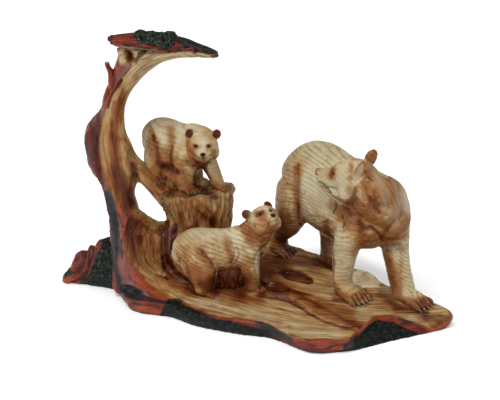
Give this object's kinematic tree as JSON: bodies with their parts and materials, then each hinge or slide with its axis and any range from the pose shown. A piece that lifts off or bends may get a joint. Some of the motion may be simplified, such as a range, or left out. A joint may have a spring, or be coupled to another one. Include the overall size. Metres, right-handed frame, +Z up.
{
  "type": "bear statue",
  "caption": "Cast resin statue of a walking bear and cubs on driftwood under an arching tree, painted like carved wood.",
  "frame": {"origin": "on the floor plane under the middle of the driftwood base", "axes": "+X along the base towards the pointed tip under the mother bear, +Y to the back, +Z up"},
  "size_m": [0.2965, 0.1359, 0.2055],
  "materials": {
    "painted_resin": "satin, painted as grained wood"
  },
  "bodies": {
    "root": {"bear_family_statue": "painted_resin"}
  },
  "joints": []
}
